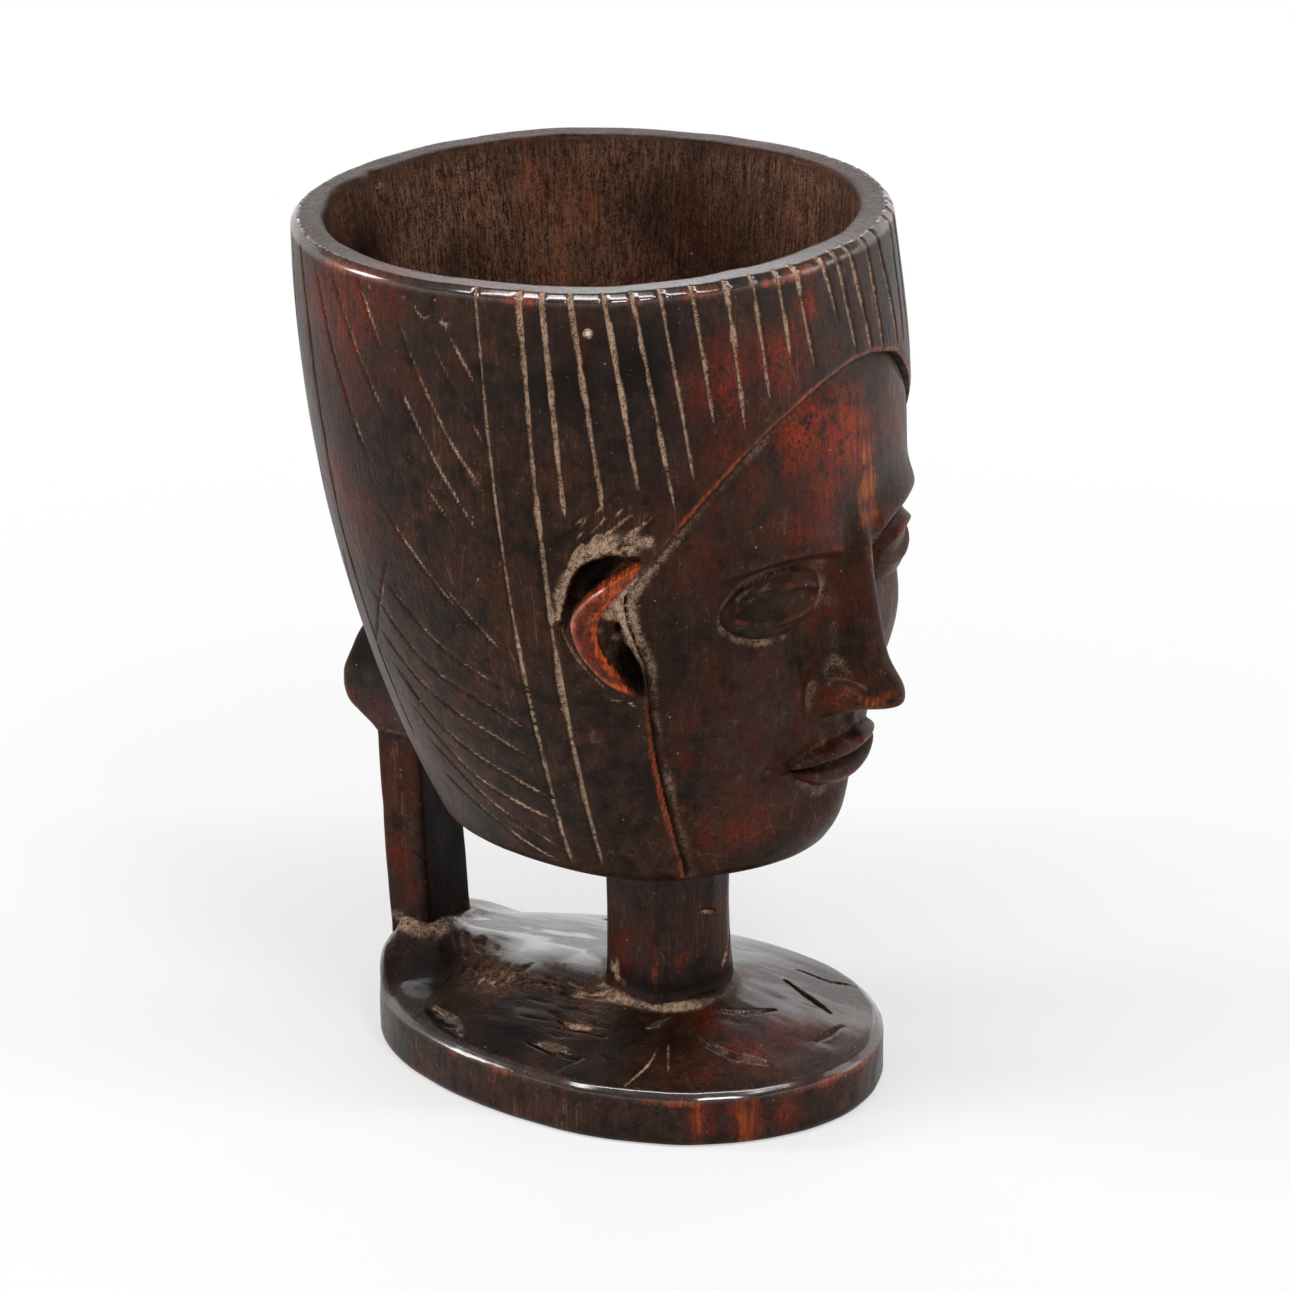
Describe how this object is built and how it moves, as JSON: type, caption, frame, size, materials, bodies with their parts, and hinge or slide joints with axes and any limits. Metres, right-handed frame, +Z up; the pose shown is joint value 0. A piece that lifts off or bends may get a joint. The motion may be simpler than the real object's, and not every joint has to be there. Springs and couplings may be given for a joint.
{
  "type": "carved head cup",
  "caption": "Carved wooden drinking cup in the form of a head: open bowl, short neck, oval foot and a square handle post with an angular elbow at the back.",
  "frame": {"origin": "centre of the foot's flat underside, on the surface that the cup stands on", "axes": "+Z up through the cup, -Y the way the face looks, +X the head's own left"},
  "size_m": [0.13, 0.1343, 0.19],
  "materials": {
    "foot_wood": "waxed dark hardwood, worn red at the edges",
    "head_wood": "waxed near-black hardwood with dust in the cuts",
    "face_wood": "waxed hardwood, handled to a red brown",
    "handle_wood": "waxed dark hardwood, red brown on the flats"
  },
  "bodies": {
    "root": {"foot": "foot_wood", "neck": "foot_wood", "bowl": "head_wood", "face": "face_wood", "right_ear": "face_wood", "left_ear": "face_wood", "handle_elbow": "handle_wood", "handle_post": "handle_wood"}
  },
  "joints": []
}
